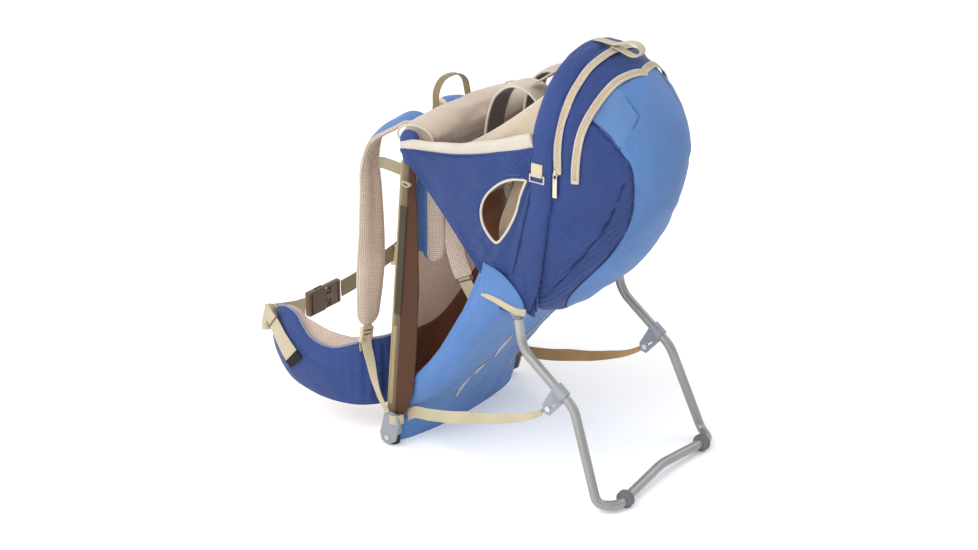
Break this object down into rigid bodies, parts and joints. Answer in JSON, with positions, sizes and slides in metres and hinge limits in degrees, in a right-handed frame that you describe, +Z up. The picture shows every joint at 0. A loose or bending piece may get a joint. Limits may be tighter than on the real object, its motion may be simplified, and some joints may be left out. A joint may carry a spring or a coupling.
{
  "type": "baby carrier backpack",
  "caption": "Framed backpack that carries a child in a padded cockpit, with hip belt, shoulder straps, storage pack and fold-out kickstand.",
  "frame": {"origin": "on the ground under the middle of the carrier's length and width", "axes": "+Z up, +X from the wearer towards the storage pack, +Y towards the wearer's right"},
  "size_m": [0.7686, 0.4514, 0.7732],
  "materials": {
    "aluminium_tube": "satin anodised tube",
    "bracket_grey": "satin grey casting",
    "rivet_steel": "plain steel",
    "rubber_black": "matt rubber",
    "rubber_grey": "matt rubber",
    "buckle_plastic": "moulded acetal",
    "ladder_plastic": "moulded acetal",
    "fabric_dark_blue": "ripstop pack cloth",
    "fabric_light_blue": "pack cloth",
    "fabric_cream": "brushed lining",
    "fabric_taupe": "air mesh over foam",
    "fabric_brown": "nylon lining",
    "mesh_brown": "air mesh",
    "webbing_cream": "woven webbing",
    "webbing_olive": "woven webbing",
    "zip_metal": "die-cast slider"
  },
  "bodies": {
    "carrier": {"back_panel": "mesh_brown", "bracket_rivets": "rivet_steel", "child_seat": "fabric_brown", "cockpit_side_left": "fabric_dark_blue", "cockpit_side_right": "fabric_dark_blue", "cross_tubes": "aluminium_tube", "foot_bracket_left": "bracket_grey", "foot_bracket_right": "bracket_grey", "front_roll": "fabric_taupe", "grab_handle": "webbing_olive", "hang_loop": "webbing_cream", "harness_buckle": "buckle_plastic", "harness_strap_left": "fabric_taupe", "harness_strap_right": "fabric_taupe", "hinge_knuckle_left": "bracket_grey", "hinge_knuckle_right": "bracket_grey", "hinge_pins": "rivet_steel", "hip_buckle_plug": "buckle_plastic", "hip_buckle_socket": "buckle_plastic", "hip_webbing_left": "webbing_cream", "hip_webbing_right": "webbing_olive", "hip_wing_left": "fabric_dark_blue", "hip_wing_right": "fabric_dark_blue", "kickstand_strap_left": "webbing_cream", "kickstand_strap_right": "webbing_cream", "lumbar_pad": "fabric_taupe", "post_left": "aluminium_tube", "post_right": "aluminium_tube", "rear_hoop": "aluminium_tube", "rear_pack": "fabric_light_blue", "rim_pad_left": "fabric_cream", "rim_pad_right": "fabric_cream", "ring_tabs": "webbing_cream", "rubber_foot_left": "rubber_black", "rubber_foot_right": "rubber_black", "seat_back_pad": "fabric_taupe", "seat_stay_left": "aluminium_tube", "seat_stay_right": "aluminium_tube", "shoulder_strap_left": "fabric_taupe", "shoulder_strap_right": "fabric_taupe", "shoulder_webbing_left": "webbing_cream", "shoulder_webbing_right": "webbing_cream", "storage_pouch": "fabric_light_blue"},
    "kickstand": {"kickstand_tube": "aluminium_tube", "kickstand_eyes": "bracket_grey", "strap_lug_left": "bracket_grey", "strap_lug_right": "bracket_grey", "lug_rivets": "rivet_steel", "kickstand_rings": "rubber_grey"},
    "ring_left": {"side_ring_left": "rivet_steel"},
    "ring_right": {"side_ring_right": "rivet_steel"},
    "front_zip_slider": {"zip_slider_front": "zip_metal"},
    "front_zip_pull": {"zip_pull_front": "zip_metal"},
    "rear_zip_slider": {"zip_slider_rear": "zip_metal"},
    "rear_zip_pull": {"zip_pull_rear": "zip_metal"},
    "upper_prong": {"buckle_prong_upper": "buckle_plastic"},
    "lower_prong": {"buckle_prong_lower": "buckle_plastic"},
    "lock_left": {"ladder_lock_left": "ladder_plastic"},
    "lock_right": {"ladder_lock_right": "ladder_plastic"}
  },
  "joints": [
    {"name": "kickstand_fold", "type": "hinge", "parent": "carrier", "child": "kickstand", "pos_m": [0.1588, 0, 0.326], "axis": [0, 1, 0], "range_deg": [0, 60], "deforming": ["kickstand_strap_left", "kickstand_strap_right"]},
    {"name": "left_ring_swing", "type": "hinge", "parent": "carrier", "child": "ring_left", "pos_m": [0.2048, -0.1641, 0.576], "axis": [1, 0, 0], "range_deg": [-80, 0]},
    {"name": "right_ring_swing", "type": "hinge", "parent": "carrier", "child": "ring_right", "pos_m": [0.2048, 0.1641, 0.576], "axis": [1, 0, 0], "range_deg": [0, 80]},
    {"name": "front_zip_run", "type": "slide", "parent": "carrier", "child": "front_zip_slider", "axis": [-0.168, 0.075, 0.9829], "range_m": [0, 0.04]},
    {"name": "front_pull_swing", "type": "hinge", "parent": "front_zip_slider", "child": "front_zip_pull", "pos_m": [0.2338, -0.154, 0.5824], "axis": [1, 0, 0], "range_deg": [-80, 0]},
    {"name": "rear_zip_run", "type": "slide", "parent": "carrier", "child": "rear_zip_slider", "axis": [0.126, -0.1, 0.987], "range_m": [0, 0.04]},
    {"name": "rear_pull_swing", "type": "hinge", "parent": "rear_zip_slider", "child": "rear_zip_pull", "pos_m": [0.2688, 0.1477, 0.5694], "axis": [1, 0, 0], "range_deg": [0, 80]},
    {"name": "upper_prong_squeeze", "type": "hinge", "parent": "carrier", "child": "upper_prong", "pos_m": [-0.3772, -0.0195, 0.1725], "axis": [1, 0, 0], "range_deg": [0, 6], "stiffness_Nm_per_rad": 1},
    {"name": "lower_prong_squeeze", "type": "hinge", "parent": "carrier", "child": "lower_prong", "pos_m": [-0.3772, -0.0195, 0.1535], "axis": [-1, 0, 0], "range_deg": [0, 6], "stiffness_Nm_per_rad": 1},
    {"name": "left_lock_tilt", "type": "hinge", "parent": "carrier", "child": "lock_left", "pos_m": [-0.1422, -0.1865, 0.22], "axis": [0, 0.9735, -0.2286], "range_deg": [0, 30], "deforming": ["shoulder_webbing_left"]},
    {"name": "right_lock_tilt", "type": "hinge", "parent": "carrier", "child": "lock_right", "pos_m": [-0.1422, 0.1865, 0.22], "axis": [0, 0.9735, 0.2286], "range_deg": [0, 30], "deforming": ["shoulder_webbing_right"]}
  ],
  "couplings": [
    {"joint": "lower_prong_squeeze", "follows": "upper_prong_squeeze", "ratio": 1}
  ]
}
